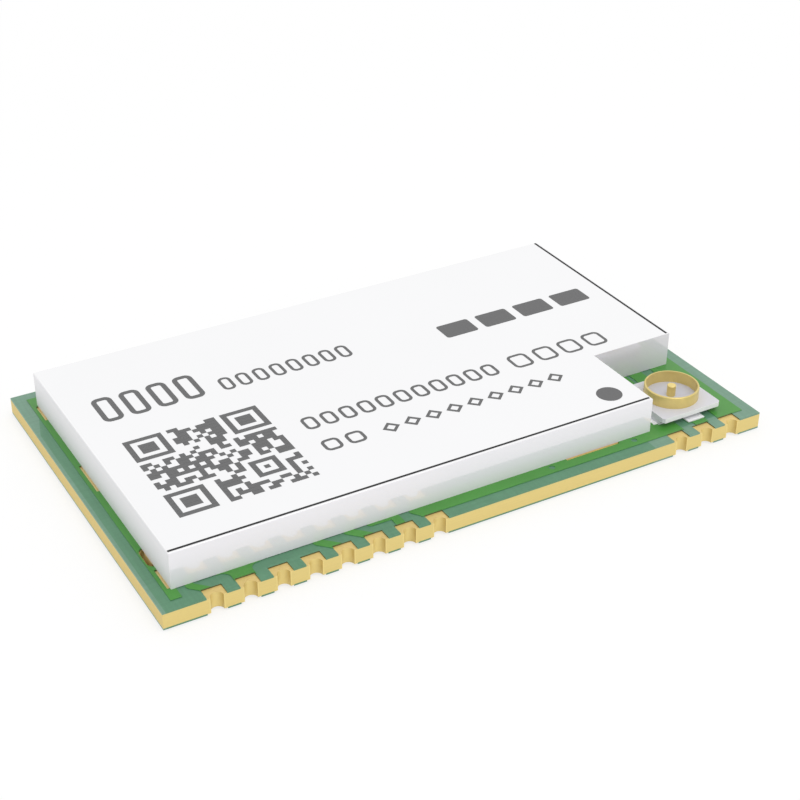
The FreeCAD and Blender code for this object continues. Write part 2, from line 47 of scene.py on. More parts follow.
# Places that the looks read from the solids
can_low, can_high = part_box("shield_can")
mask_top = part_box("top_solder_mask")[1][2]
laminate_low, laminate_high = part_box("board_laminate")
plate_low, plate_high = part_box("socket_insulator")
ring_low, ring_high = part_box("socket_outer_contact")
pin_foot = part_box("socket_centre_contact")[0][2]
land_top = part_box("edge_pad_01")[1][2]
board_left = laminate_low[0]
board_front = laminate_low[1]
can_top = can_high[2]

# The mask's thickness over bare laminate, and where that coat ends above and below
COAT = 0.065 * MM
coat_top = laminate_high[2] + COAT
coat_low = laminate_low[2] - COAT


def on_board(x, y):
    """A place given in millimetres from the board's front left corner."""
    return board_left + x * MM, board_front + y * MM


# Node tools

# Most values of a noise field lie in this range
NOISE_RANGE = (0.3, 0.7)
# A surface that faces up or down by less than this share stands upright
UPRIGHT = 0.5


def new_material(name):
    material = bpy.data.materials.new(name)
    material.use_nodes = True
    tree = material.node_tree
    tree.nodes.clear()
    output = tree.nodes.new("ShaderNodeOutputMaterial")
    shader = tree.nodes.new("ShaderNodeBsdfPrincipled")
    tree.links.new(shader.outputs["BSDF"], output.inputs["Surface"])
    return material, tree, shader


def plug(tree, socket, value):
    """A link if value is an output, and a plain value if it is a number or a colour."""
    if isinstance(value, bpy.types.NodeSocket):
        tree.links.new(value, socket)
    else:
        socket.default_value = value


def place_mm(tree):
    """The place on the object in millimetres, as a vector output."""
    coords = tree.nodes.new("ShaderNodeTexCoord")
    scale = tree.nodes.new("ShaderNodeVectorMath")
    scale.operation = "SCALE"
    scale.inputs["Scale"].default_value = 1 / MM
    tree.links.new(coords.outputs["Object"], scale.inputs[0])
    return scale.outputs["Vector"]


def math_node(tree, operation, a, b=0.0, c=0.0):
    node = tree.nodes.new("ShaderNodeMath")
    node.operation = operation
    for socket, value in zip(node.inputs, (a, b, c)):
        plug(tree, socket, value)
    return node.outputs[0]


def stretched(tree, vector, factors):
    node = tree.nodes.new("ShaderNodeVectorMath")
    node.operation = "MULTIPLY"
    plug(tree, node.inputs[0], vector)
    node.inputs[1].default_value = factors
    return node.outputs["Vector"]


def noise(tree, vector, scale, detail=3.0, roughness=0.5):
    node = tree.nodes.new("ShaderNodeTexNoise")
    plug(tree, node.inputs["Vector"], vector)
    node.inputs["Scale"].default_value = scale
    node.inputs["Detail"].default_value = detail
    node.inputs["Roughness"].default_value = roughness
    return node.outputs["Fac"]


def ramp(tree, value, low, high, to_low=0.0, to_high=1.0):
    """The value moved from one range to another, and held inside it."""
    node = tree.nodes.new("ShaderNodeMapRange")
    plug(tree, node.inputs["Value"], value)
    node.inputs["From Min"].default_value = low
    node.inputs["From Max"].default_value = high
    node.inputs["To Min"].default_value = to_low
    node.inputs["To Max"].default_value = to_high
    return node.outputs["Result"]


def blend(tree, factor, a, b):
    node = tree.nodes.new("ShaderNodeMix")
    node.data_type = "RGBA"
    plug(tree, node.inputs[0], factor)
    plug(tree, node.inputs[6], a)
    plug(tree, node.inputs[7], b)
    return node.outputs[2]


def tinted(tree, colour, shade):
    node = tree.nodes.new("ShaderNodeMix")
    node.data_type = "RGBA"
    node.blend_type = "MULTIPLY"
    node.inputs[0].default_value = 1.0
    plug(tree, node.inputs[6], colour)
    plug(tree, node.inputs[7], shade)
    return node.outputs[2]


def tone(colour, share):
    """A colour made lighter or darker."""
    return (*(min(1.0, c * share) for c in colour[:3]), 1.0)


def mottled(tree, colour, field, dark, light, field_range=NOISE_RANGE):
    """A colour that runs between two of its tones, as a noise field does."""
    return blend(tree, ramp(tree, field, *field_range), tone(colour, dark), tone(colour, light))


def bump(tree, height, strength, distance):
    node = tree.nodes.new("ShaderNodeBump")
    plug(tree, node.inputs["Height"], height)
    node.inputs["Strength"].default_value = strength
    node.inputs["Distance"].default_value = distance
    return node.outputs["Normal"]


def axis_of(tree, vector, axis):
    node = tree.nodes.new("ShaderNodeSeparateXYZ")
    plug(tree, node.inputs[0], vector)
    return node.outputs[axis]


def side_share(tree, axis):
    """How far a surface faces along an axis of the object, from 0 to 1, to either side."""
    coords = tree.nodes.new("ShaderNodeTexCoord")
    return math_node(tree, "ABSOLUTE", axis_of(tree, coords.outputs["Normal"], axis))


def over(tree, value, limit):
    """1 where a value is over its limit, and 0 elsewhere."""
    return math_node(tree, "GREATER_THAN", value, limit)


def under(tree, value, limit):
    """1 where a value is under its limit, and 0 elsewhere."""
    return math_node(tree, "LESS_THAN", value, limit)


def both(tree, a, b):
    """1 where two shares of 0 or 1 are both 1."""
    return math_node(tree, "MULTIPLY", a, b)


def either(tree, a, b):
    """1 where one of two shares of 0 or 1 is 1."""
    return math_node(tree, "MAXIMUM", a, b)


# Materials of the board
GREEN = (0.063, 0.276, 0.038, 1.0)
TEAL = (0.097, 0.251, 0.142, 1.0)
PALE_TEAL = (1.62, 1.20, 1.48, 1.0)
GOLD = (0.830, 0.665, 0.250, 1.0)
LONG_EDGE = (0.92, 0.90, 0.84, 1.0)
# Painted shade on the board's short left and right edges
SHORT_EDGE_PAINTED_SHADE = (0.88, 0.84, 0.72, 1.0)
# Painted shade on the lands' tops
LAND_PAINTED_SHADE = (0.92, 0.85, 0.82, 1.0)
# Painted shade on the walls of the mask's openings
OPENING_WALL_PAINTED_SHADE = (0.085, 0.090, 0.030, 1.0)
# Painted shade on gold that faces along x, such as the half-holes' flanks
BORE_FLANK_PAINTED_SHADE = (0.74, 0.70, 0.64, 1.0)
WHOLE = (1.0, 1.0, 1.0, 1.0)

# Limits of the paler bare mask, from the board's front left corner. The slant cuts off the
# back left corner: it is paler where x less the first number times y is under the second.
# Width of the painted highlight along the left edge
LEFT_EDGE_HIGHLIGHT_WIDTH = 0.13
PALE_RIGHT = 20.72
PALE_FRONT = 0.67
PALE_FAR_RIGHT = 24.9
PALE_SLANT = (0.292, -3.56)
# Room either side of a height at which the mask changes tone
LEVEL_ROOM = 0.002
# Widths beside the board's outline that count as its edge, for the mask and for the laminate
MASK_EDGE = 0.03
LAMINATE_EDGE = 0.02
# Depth under the lands' top that still counts as their top
LAND_ROOM = 0.003


def pale_share(tree, place):
    """1 on the bare mask's paler parts: the right end, a painted highlight along the left edge and the
    cut back left corner.
    """
    across = math_node(tree, "SUBTRACT", axis_of(tree, place, 0), board_left / MM)
    along = math_node(tree, "SUBTRACT", axis_of(tree, place, 1), board_front / MM)
    front_or_end = either(tree, under(tree, along, PALE_FRONT), over(tree, across, PALE_FAR_RIGHT))
    at_right = both(tree, over(tree, across, PALE_RIGHT), front_or_end)
    slanted = math_node(tree, "MULTIPLY_ADD", along, -PALE_SLANT[0], across)
    # A painted highlight along the left edge, and the paler cut back left corner
    at_left = either(tree, under(tree, across, LEFT_EDGE_HIGHLIGHT_WIDTH), under(tree, slanted, PALE_SLANT[1]))
    return either(tree, at_right, at_left)


def mask_material(name, step_mm, coat_mm, faces_up):
    """Solder mask: bright green over copper, blue-green and faintly woven over bare laminate,
    with painted shade on the walls of its openings."""
    material, tree, shader = new_material(name)
    place = place_mm(tree)
    height = axis_of(tree, place, 2)
    over_copper = ramp(tree, height, step_mm - LEVEL_ROOM, step_mm + LEVEL_ROOM)
    if not faces_up:
        over_copper = math_node(tree, "SUBTRACT", 1.0, over_copper)
    warp = noise(tree, stretched(tree, place, (0.4, 6.0, 1.0)), 1.4, 2.0)
    weft = noise(tree, stretched(tree, place, (6.0, 0.4, 1.0)), 1.4, 2.0)
    weave = math_node(tree, "MULTIPLY", warp, weft)
    cloud = noise(tree, place, 0.45, 3.0)
    teal = mottled(tree, TEAL, weave, 0.93, 1.07, (0.12, 0.40))
    teal = blend(tree, pale_share(tree, place), teal, tinted(tree, teal, PALE_TEAL))
    green = mottled(tree, GREEN, cloud, 0.94, 1.05, (0.35, 0.65))
    colour = blend(tree, over_copper, teal, green)
    # Painted shade on the upright walls of the mask's openings, inside the board's outline
    on_wall = under(tree, side_share(tree, 2), UPRIGHT)
    for axis in (0, 1):
        reach = math_node(tree, "ABSOLUTE", axis_of(tree, place, axis))
        on_wall = both(tree, on_wall, under(tree, reach, laminate_high[axis] / MM - MASK_EDGE))
    if faces_up:
        in_coat = under(tree, height, coat_mm - LEVEL_ROOM)
    else:
        in_coat = over(tree, height, coat_mm + LEVEL_ROOM)
    on_wall = both(tree, on_wall, in_coat)
    plug(tree, shader.inputs["Base Color"], blend(tree, on_wall, colour, OPENING_WALL_PAINTED_SHADE))
    grain = noise(tree, place, 14.0, 2.0)
    plug(tree, shader.inputs["Roughness"], ramp(tree, grain, *NOISE_RANGE, 0.30, 0.38))
    plug(tree, shader.inputs["Normal"], bump(tree, cloud, 0.10, 0.02 * MM))
    return material


def laminate_material(name):
    """Glass and epoxy board: golden, with fine glass layers along its routed edges and painted shade on
    its short edges.
    """
    material, tree, shader = new_material(name)
    place = place_mm(tree)
    layers = noise(tree, stretched(tree, place, (0.5, 0.5, 26.0)), 1.0, 3.0)
    fleck = noise(tree, stretched(tree, place, (5.0, 5.0, 9.0)), 1.6, 4.0, 0.6)
    base = mottled(tree, GOLD, layers, 0.97, 1.02)
    colour = blend(tree, ramp(tree, fleck, 0.55, 0.75, 0.0, 0.5), base, tone(GOLD, 0.9))
    reach = math_node(tree, "ABSOLUTE", axis_of(tree, place, 0))
    short_edge = over(tree, reach, laminate_high[0] / MM - LAMINATE_EDGE)
    # Painted shade on the short edges
    shade = blend(tree, short_edge, LONG_EDGE, SHORT_EDGE_PAINTED_SHADE)
    plug(tree, shader.inputs["Base Color"], tinted(tree, colour, shade))
    plug(tree, shader.inputs["Roughness"], ramp(tree, fleck, *NOISE_RANGE, 0.48, 0.60))
    plug(tree, shader.inputs["Normal"], bump(tree, layers, 0.12, 0.01 * MM))
    return material


def plated_material(name, colour, metallic, roughness, land_top_mm=None):
    """Plated metal with a fine grain and slight tarnish. With a height for its lands it gets painted
    shade on their tops, and on its surfaces that face along x, such as the flanks of its half-holes."""
    material, tree, shader = new_material(name)
    place = place_mm(tree)
    grain = noise(tree, place, 22.0, 3.0, 0.6)
    cloud = noise(tree, place, 1.7, 3.0)
    base = mottled(tree, colour, cloud, 0.95, 1.04)
    if land_top_mm is not None:
        # Painted shade on the lands' tops
        on_land = over(tree, axis_of(tree, place, 2), land_top_mm - LAND_ROOM)
        base = tinted(tree, base, blend(tree, on_land, WHOLE, LAND_PAINTED_SHADE))
        # Painted shade on surfaces that face along x
        sideways = math_node(tree, "POWER", side_share(tree, 0), 2.0)
        base = tinted(tree, base, blend(tree, sideways, WHOLE, BORE_FLANK_PAINTED_SHADE))
    plug(tree, shader.inputs["Base Color"], base)
    shader.inputs["Metallic"].default_value = metallic
    rough = ramp(tree, grain, *NOISE_RANGE, roughness - 0.05, roughness + 0.07)
    plug(tree, shader.inputs["Roughness"], rough)
    plug(tree, shader.inputs["Normal"], bump(tree, grain, 0.08, 0.004 * MM))
    return material


# Materials of the can, its ink and the socket
WHITE = (0.885, 0.885, 0.895, 1.0)
INK = (0.128, 0.128, 0.130, 1.0)
DARK_INK = (0.006, 0.006, 0.0065, 1.0)
SOLDER = (0.930, 0.700, 0.270, 1.0)
# Painted shade on the cut-out's wall, on the left wall and on all upright walls
NOTCH_WALL_PAINTED_SHADE = (0.90, 0.89, 0.91, 1.0)
LEFT_WALL_PAINTED_SHADE = (0.980, 0.985, 0.970, 1.0)
UPRIGHT_WALL_PAINTED_SHADE = (0.975, 0.955, 0.990, 1.0)
CAN_ROUGHNESS = 0.02
LEFT_ROUGHNESS = 0.5
SOLDER_ROUGHNESS = 0.38
CAN_IOR = 1.8
CAN_SPECULAR = 0.7

# The cut-out's inner corner, from the board's front left corner
NOTCH_CORNER = (21.23, 4.96)
# Depths behind a face of the can that still count as that face
LEFT_ROOM = 0.01
NOTCH_ROOM = 0.02
# Solder gives way to the white finish between these depths below the top of the mask
SOLDER_END = (0.006, 0.002)


def can_material(name, mask_top_mm):
    """Smooth white-finished sheet under a clear gloss, with gold solder on its feet and legs.
    Its left wall is matt. Painted shade lies on its left wall, its upright walls and the wall in the
    cut-out."""
    material, tree, shader = new_material(name)
    place = place_mm(tree)
    across, along, height = (axis_of(tree, place, axis) for axis in range(3))
    cloud = noise(tree, place, 0.22, 2.0)
    fine = noise(tree, place, 9.0, 2.0)
    on_left = under(tree, across, can_low[0] / MM + LEFT_ROOM)
    finish_and_shade = blend(tree, cloud, tone(WHITE, 0.99), tone(WHITE, 1.01))
    # Painted shade on the left wall
    finish_and_shade = tinted(tree, finish_and_shade, blend(tree, on_left, WHOLE, LEFT_WALL_PAINTED_SHADE))
    on_side = under(tree, side_share(tree, 2), UPRIGHT)
    # Painted shade on the upright walls, which also offsets the board's green reflection
    finish_and_shade = tinted(tree, finish_and_shade, blend(tree, on_side, WHOLE, UPRIGHT_WALL_PAINTED_SHADE))
    solder = mottled(tree, SOLDER, fine, 0.94, 1.05)
    above = ramp(tree, height, *(mask_top_mm - depth for depth in SOLDER_END))
    from_notch = math_node(tree, "SUBTRACT", along, board_front / MM + NOTCH_CORNER[1])
    on_notch = under(tree, math_node(tree, "ABSOLUTE", from_notch), NOTCH_ROOM)
    on_notch = both(tree, on_notch, over(tree, across, board_left / MM + NOTCH_CORNER[0]))
    on_notch = both(tree, on_notch, under(tree, height, can_top / MM - NOTCH_ROOM))
    # Painted shade on the wall in the cut-out
    finish_and_shade = tinted(tree, finish_and_shade, blend(tree, on_notch, WHOLE, NOTCH_WALL_PAINTED_SHADE))
    plug(tree, shader.inputs["Base Color"], blend(tree, above, solder, finish_and_shade))
    gloss = ramp(tree, on_left, 0.0, 1.0, CAN_ROUGHNESS, LEFT_ROUGHNESS)
    matt_below = ramp(tree, above, 0.0, 1.0, SOLDER_ROUGHNESS, 0.0)
    plug(tree, shader.inputs["Roughness"], math_node(tree, "MAXIMUM", gloss, matt_below))
    shader.inputs["IOR"].default_value = CAN_IOR
    shader.inputs["Specular IOR Level"].default_value = CAN_SPECULAR
    plug(tree, shader.inputs["Normal"], bump(tree, cloud, 0.01, 0.01 * MM))
    return material


def ink_material(name, colour):
    """Matt ink with the slight mottle of a pad print."""
    material, tree, shader = new_material(name)
    place = place_mm(tree)
    mottle = noise(tree, place, 6.0, 4.0, 0.6)
    plug(tree, shader.inputs["Base Color"], blend(tree, mottle, tone(colour, 0.92), tone(colour, 1.08)))
    plug(tree, shader.inputs["Roughness"], ramp(tree, mottle, *NOISE_RANGE, 0.55, 0.7))
    return material


# The plate's floor inside the socket's ring, as a reach from the ring's middle
RING_MIDDLE = tuple((ring_low[axis] + ring_high[axis]) / 2 / MM for axis in (0, 1))
RING_REACH = 1.04
# Painted shade on the plate's floor inside the ring
RING_FLOOR_PAINTED_SHADE = (0.88, 0.90, 0.97, 1.0)
# Depth behind the plate's front face that still counts as that face
FRONT_ROOM = 0.01


def moulded_material(name, colour, front_painted_light, front_mm, roughness):
    """Moulded plastic with a fine satin texture, a painted highlight on its front face and painted
    shade on the floor in the ring.
    """
    material, tree, shader = new_material(name)
    place = place_mm(tree)
    mottle = noise(tree, place, 2.2, 4.0)
    texture = noise(tree, place, 30.0, 2.0)
    on_front = under(tree, axis_of(tree, place, 1), front_mm + FRONT_ROOM)
    base = blend(tree, mottle, tone(colour, 0.98), tone(colour, 1.02))
    across = math_node(tree, "SUBTRACT", axis_of(tree, place, 0), RING_MIDDLE[0])
    along = math_node(tree, "SUBTRACT", axis_of(tree, place, 1), RING_MIDDLE[1])
    along_squared = math_node(tree, "MULTIPLY", along, along)
    squared = math_node(tree, "MULTIPLY_ADD", across, across, along_squared)
    in_ring = under(tree, math_node(tree, "SQRT", squared), RING_REACH)
    # Painted shade inside the ring
    base = tinted(tree, base, blend(tree, in_ring, WHOLE, RING_FLOOR_PAINTED_SHADE))
    # Painted highlight on the front face
    plug(tree, shader.inputs["Base Color"], blend(tree, on_front, base, front_painted_light))
    rough = ramp(tree, texture, *NOISE_RANGE, roughness - 0.05, roughness + 0.05)
    plug(tree, shader.inputs["Roughness"], rough)
    plug(tree, shader.inputs["Normal"], bump(tree, texture, 0.15, 0.004 * MM))
    return material


LEAD_TIN = (0.70, 0.70, 0.69, 1.0)
TINNED_DARK = (0.66, 0.66, 0.65, 1.0)
TINNED_LIGHT = (0.74, 0.74, 0.73, 1.0)


def from_middle(tree, place, axis, low, high):
    """The distance from a box's middle along an axis, and half the box's side."""
    middle = (low[axis] + high[axis]) / 2 / MM
    offset = math_node(tree, "SUBTRACT", axis_of(tree, place, axis), middle)
    return math_node(tree, "ABSOLUTE", offset), (high[axis] - low[axis]) / 2 / MM


def two_ended_material(name, node, body_colour, end_share):
    """Ceramic body with a tinned end at each side, told apart by the distance from its middle."""
    material, tree, shader = new_material(name)
    place = place_mm(tree)
    offset, half_side = from_middle(tree, place, 0, *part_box(node))
    on_end = over(tree, offset, half_side * (1 - end_share))
    mottle = noise(tree, place, 9.0, 4.0)
    body = blend(tree, mottle, tone(body_colour, 0.92), tone(body_colour, 1.08))
    tinned = blend(tree, mottle, TINNED_DARK, TINNED_LIGHT)
    plug(tree, shader.inputs["Base Color"], blend(tree, on_end, body, tinned))
    plug(tree, shader.inputs["Metallic"], on_end)
    plug(tree, shader.inputs["Roughness"], ramp(tree, on_end, 0.0, 1.0, 0.5, 0.36))
    plug(tree, shader.inputs["Normal"], bump(tree, mottle, 0.2, 0.006 * MM))
    return material


def chip_material(name, node, body_colour, insets_mm, seat_mm):
    """A case with metal leads: past its sides by the insets in x and y, and under its seat."""
    material, tree, shader = new_material(name)
    place = place_mm(tree)
    low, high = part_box(node)
    on_lead = under(tree, axis_of(tree, place, 2), low[2] / MM + seat_mm)
    for axis, inset in enumerate(insets_mm):
        offset, half_side = from_middle(tree, place, axis, low, high)
        on_lead = either(tree, on_lead, over(tree, offset, half_side - inset))
    mottle = noise(tree, place, 5.0, 5.0, 0.6)
    texture = noise(tree, place, 34.0, 2.0)
    body = blend(tree, mottle, tone(body_colour, 0.85), tone(body_colour, 1.15))
    lead = blend(tree, mottle, tone(LEAD_TIN, 0.94), tone(LEAD_TIN, 1.05))
    plug(tree, shader.inputs["Base Color"], blend(tree, on_lead, body, lead))
    plug(tree, shader.inputs["Metallic"], on_lead)
    plug(tree, shader.inputs["Roughness"], ramp(tree, on_lead, 0.0, 1.0, 0.55, 0.34))
    plug(tree, shader.inputs["Normal"], bump(tree, texture, 0.25, 0.004 * MM))
    return material


# Room either side of the height at which gold gives way to tin
SPLIT_ROOM = 0.004
GOLD_METALLIC = 0.55


def split_metal_material(name, upper, lower, split_mm):
    """Gold above a height and tinned below it, with a fine grain."""
    material, tree, shader = new_material(name)
    place = place_mm(tree)
    above = ramp(tree, axis_of(tree, place, 2), split_mm - SPLIT_ROOM, split_mm + SPLIT_ROOM)
    grain = noise(tree, place, 20.0, 3.0, 0.6)
    cloud = noise(tree, place, 2.4, 3.0)
    gold = mottled(tree, upper, cloud, 0.95, 1.05)
    tin = mottled(tree, lower, cloud, 0.97, 1.02)
    plug(tree, shader.inputs["Base Color"], blend(tree, above, tin, gold))
    plug(tree, shader.inputs["Metallic"], ramp(tree, above, 0.0, 1.0, 0.0, GOLD_METALLIC))
    plug(tree, shader.inputs["Roughness"], ramp(tree, grain, *NOISE_RANGE, 0.30, 0.42))
    plug(tree, shader.inputs["Normal"], bump(tree, grain, 0.08, 0.004 * MM))
    return material


def dress(node, material):
    slots = nodes[node].material_slots
    if not slots:
        nodes[node].data.materials.append(material)
    for slot in slots:
        slot.material = material


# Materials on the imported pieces
COPPER = (0.82, 0.65, 0.32, 1.0)
TIN = (0.950, 0.950, 0.955, 1.0)
RING_GOLD = (0.740, 0.590, 0.220, 1.0)
# The pin's gold is the ring's gold made lighter, a painted highlight
PIN_GOLD_LIT = tone(RING_GOLD, 1.12)
PLATE_GREY = (0.67, 0.67, 0.72, 1.0)
# The front face's paler colour is a painted highlight
PLATE_FRONT_PAINTED_LIGHT = (0.87, 0.87, 0.89, 1.0)
PLATE_ROUGHNESS = 0.45
BLACK = (0.016, 0.016, 0.018, 1.0)
CASE_CREAM = (0.62, 0.60, 0.55, 1.0)
# The ring is gold down to this depth under the plate's top, and the pin down to this height
RING_GOLD_DEPTH = 0.11
PIN_GOLD_HEIGHT = 0.2
mask_step = (coat_top + mask_top) / 2 / MM
underside_step = coat_low / 2 / MM

# Body colour, and each tinned end's share of half the length
TWO_ENDED = {
    "capacitor": ((0.40, 0.27, 0.16, 1.0), 0.42),
    "inductor": ((0.09, 0.11, 0.15, 1.0), 0.44),
    "resistor": ((0.02, 0.02, 0.022, 1.0), 0.44),
}
# Material's name, case colour, how far leads reach out in x and y, and the height of the seat
CHIPS = {
    "radio_chip": ("radio_moulding", BLACK, (0, 0), 0.03),
    "controller_chip": ("controller_moulding", BLACK, (0, 0), 0.03),
    "voltage_regulator": ("regulator_moulding", BLACK, (0, 0.6), 0.08),
    "antenna_switch": ("switch_moulding", BLACK, (0.42, 0), 0.08),
    "reference_oscillator": ("oscillator_case", CASE_CREAM, (0, 0), 0.03),
}

gold_plating = plated_material("gold_plating", GOLD, 0.25, 0.42, land_top / MM)
copper = plated_material("copper", COPPER, 0.25, 0.40)
dress("board_laminate", laminate_material("laminate"))
dress("top_solder_mask", mask_material("top_mask", mask_step, coat_top / MM, True))
dress("bottom_solder_mask", mask_material("bottom_mask", underside_step, coat_low / MM, False))
dress("shield_can", can_material("can_sheet", mask_top / MM))
dress("socket_insulator", moulded_material("insulator", PLATE_GREY, PLATE_FRONT_PAINTED_LIGHT,
                                           plate_low[1] / MM, PLATE_ROUGHNESS))
dress("socket_outer_contact", split_metal_material("socket_ring_metal", RING_GOLD, TIN,
                                                   plate_high[2] / MM - RING_GOLD_DEPTH))
dress("socket_centre_contact", split_metal_material("socket_pin_metal", PIN_GOLD_LIT, TIN,
                                                    pin_foot / MM + PIN_GOLD_HEIGHT))
for node in nodes:
    if node.startswith("edge_pad") or node.endswith("slot_plating") or node == "component_lands":
        dress(node, gold_plating)
    elif node.endswith(("_copper", "_tracks", "_track")):
        dress(node, copper)
    for kind, (body_colour, end_share) in TWO_ENDED.items():
        if kind in node:
            dress(node, two_ended_material(node + "_ceramic", node, body_colour, end_share))
for node, (name, case_colour, insets_mm, seat_mm) in CHIPS.items():
    dress(node, chip_material(name, node, case_colour, insets_mm, seat_mm))


# Ink on the can: closed thin prints that lie on its top
INK_HEIGHT = 0.006 * MM
INK_SUNK = 0.001 * MM
ink = ink_material("print_ink", INK)
line_ink = ink_material("line_ink", DARK_INK)


def layers_of(form, outline):
    """The outline's points at the foot and at the top of the ink."""
    low = can_top - INK_SUNK
    high = can_top + INK_HEIGHT
    lower = [form.verts.new((x, y, low)) for x, y in outline]
    upper = [form.verts.new((x, y, high)) for x, y in outline]
    return lower, upper


def add_plate(form, outline):
    """A flat print from its outline of (x, y) places in metres, turning to the left."""
    lower, upper = layers_of(form, outline)
    form.faces.new(lower[::-1])
    form.faces.new(upper)
    for i in range(len(outline)):
        j = (i + 1) % len(outline)
        form.faces.new((lower[i], lower[j], upper[j], upper[i]))


def add_frame(form, outer, inner):
    """A flat print between two outlines with as many points."""
    lower, upper = layers_of(form, outer)
    inner_lower, inner_upper = layers_of(form, inner)
    for i in range(len(outer)):
        j = (i + 1) % len(outer)
        form.faces.new((upper[i], upper[j], inner_upper[j], inner_upper[i]))
        form.faces.new((lower[j], lower[i], inner_lower[i], inner_lower[j]))
        form.faces.new((lower[i], lower[j], upper[j], upper[i]))
        form.faces.new((inner_lower[j], inner_lower[i], inner_upper[i], inner_upper[j]))


def print_piece(name, material, plates=(), frames=()):
    """One object of flat prints."""
    mesh = bpy.data.meshes.new(name)
    form = bmesh.new()
    for outline in plates:
        add_plate(form, outline)
    for outer, inner in frames:
        add_frame(form, outer, inner)
    form.normal_update()
    form.to_mesh(mesh)
    form.free()
    piece = bpy.data.objects.new(name, mesh)
    bpy.context.scene.collection.objects.link(piece)
    mesh.materials.append(material)
    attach(piece, "root")


def rectangle(x0, y0, x1, y1):
    """The outline between two places given from the board's front left corner."""
    a, b = on_board(x0, y0), on_board(x1, y1)
    return [(a[0], a[1]), (b[0], a[1]), (b[0], b[1]), (a[0], b[1])]


def round_bar(x0, y0, x1, y1, radius, steps=5):
    """A rectangle with rounded corners."""
    points = []
    for cx, cy, start in ((x1 - radius, y0 + radius, -90), (x1 - radius, y1 - radius, 0),
                          (x0 + radius, y1 - radius, 90), (x0 + radius, y0 + radius, 180)):
        for i in range(steps + 1):
            turn = math.radians(start + 90 * i / steps)
            points.append(on_board(cx + radius * math.cos(turn), cy + radius * math.sin(turn)))
    return points


def hollow_bar(x0, y0, x1, y1, radius, stroke):
    """The outer and inner outline of a rounded frame."""
    inner = round_bar(x0 + stroke, y0 + stroke, x1 - stroke, y1 - stroke, radius - stroke)
    return round_bar(x0, y0, x1, y1, radius), inner


def diamond(x0, y0, x1, y1, stroke):
    """The outer and inner outline of a diamond frame that fills a rectangle."""
    middle_x, middle_y = (x0 + x1) / 2, (y0 + y1) / 2
    half_x, half_y = (x1 - x0) / 2, (y1 - y0) / 2
    side = math.hypot(half_x, half_y)
    outlines = []
    for inset in (0, stroke):
        a = half_x - inset * side / half_y
        b = half_y - inset * side / half_x
        corners = ((a, 0), (0, b), (-a, 0), (0, -b))
        outlines.append([on_board(middle_x + u, middle_y + v) for u, v in corners])
    return outlines


def disc(x, y, radius, steps=64):
    turns = [2 * math.pi * i / steps for i in range(steps)]
    return [on_board(x + radius * math.cos(t), y + radius * math.sin(t)) for t in turns]


def in_a_row(x0, x1, y0, y1, count, share):
    """Rectangles of one size from x0 to x1, each as wide as a share of the step between them."""
    step = (x1 - x0) / (count - 1 + share)
    return [(x0 + step * i, y0, x0 + step * (i + share), y1) for i in range(count)]


# A plain square code field: seeded modules, three nested corner squares and one small one.
# Its front left corner and its side, from the board's front left corner.
CODE_CORNER = (1.945, 2.753)
CODE_SIDE = 5.5
CODE_MODULES = 25
CODE_SEED = 20
DARK_SHARE = 0.52
CORNER_MODULES = 7
# The small square's column, row and modules along a side
SMALL_SQUARE = (16, 4, 5)
ROW_GAP = 0.003


def nested_square(cells, column, row, side):
    """A dark outline, a light one inside it and a dark middle, with a light margin around them."""
    for i in range(-1, side + 1):
        for j in range(-1, side + 1):
            depth = min(i, j, side - 1 - i, side - 1 - j)
            cells[column + i, row + j] = depth >= 0 and depth != 1


def code_cells():
    """Which modules are dark, by column and row."""
    draw = random.Random(CODE_SEED)
    cells = {}
    for column in range(CODE_MODULES):
        for row in range(CODE_MODULES):
            cells[column, row] = draw.random() < DARK_SHARE
    far = CODE_MODULES - CORNER_MODULES
    for column, row in ((0, 0), (0, far), (far, far)):
        nested_square(cells, column, row, CORNER_MODULES)
    nested_square(cells, *SMALL_SQUARE)
    return cells


def code_outlines():
    """The dark modules, joined along each row."""
    cells = code_cells()
    side = CODE_SIDE / CODE_MODULES
    outlines = []
    for row in range(CODE_MODULES):
        y0 = CODE_CORNER[1] + row * side + ROW_GAP
        y1 = CODE_CORNER[1] + (row + 1) * side - ROW_GAP
        column = 0
        while column < CODE_MODULES:
            end = column
            while end < CODE_MODULES and cells[end, row]:
                end += 1
            if end > column:
                x0 = CODE_CORNER[0] + column * side
                x1 = CODE_CORNER[0] + end * side
                outlines.append(rectangle(x0, y0, x1, y1))
            column = end + 1
    return outlines


# Plain frames, blocks and diamonds in rows: first and last x, lower and upper y, how many,
# share of the step, and for the frames the corner radius and the stroke
FRAME_ROWS = [
    (1.94, 6.17, 9.88, 11.72, 4, 0.74, 0.30, 0.21),
    (6.92, 12.70, 9.82, 10.80, 8, 0.72, 0.24, 0.13),
    (8.44, 17.15, 5.60, 6.50, 11, 0.74, 0.24, 0.13),
    (17.90, 22.48, 5.58, 6.60, 4, 0.74, 0.26, 0.13),
    (8.40, 10.15, 3.94, 4.72, 2, 0.74, 0.24, 0.13),
]
DIAMOND_ROW = (10.90, 19.19, 3.91, 4.62, 9, 0.80)
DIAMOND_STROKE = 0.12
BLOCK_ROW = (16.77, 24.03, 9.13, 10.20, 4, 0.80)
BLOCK_CORNER = 0.12
# The round dot's place and radius
DOT = (19.944, 2.16, 0.52)

